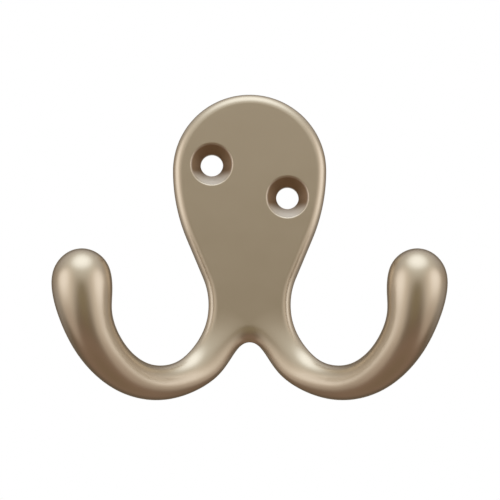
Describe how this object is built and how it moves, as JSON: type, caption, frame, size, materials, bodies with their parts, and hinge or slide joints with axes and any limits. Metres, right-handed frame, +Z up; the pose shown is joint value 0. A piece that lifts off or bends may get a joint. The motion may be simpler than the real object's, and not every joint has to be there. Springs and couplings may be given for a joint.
{
  "type": "double robe hook",
  "caption": "Double robe hook: a pear-shaped wall plate with countersunk screw holes, whose lower end parts into round upswept arms with thickened, rounded ends.",
  "frame": {"origin": "on the wall, midway between the two screw holes, at the plate's flat back", "axes": "+X to the right seen from the front, +Y into the wall, +Z up; the front faces -Y"},
  "size_m": [0.0734, 0.0257, 0.0589],
  "materials": {
    "satin_nickel": "satin nickel plate on a smooth zinc die casting, warm grey"
  },
  "bodies": {
    "root": {"hook_casting": "satin_nickel"}
  },
  "joints": []
}
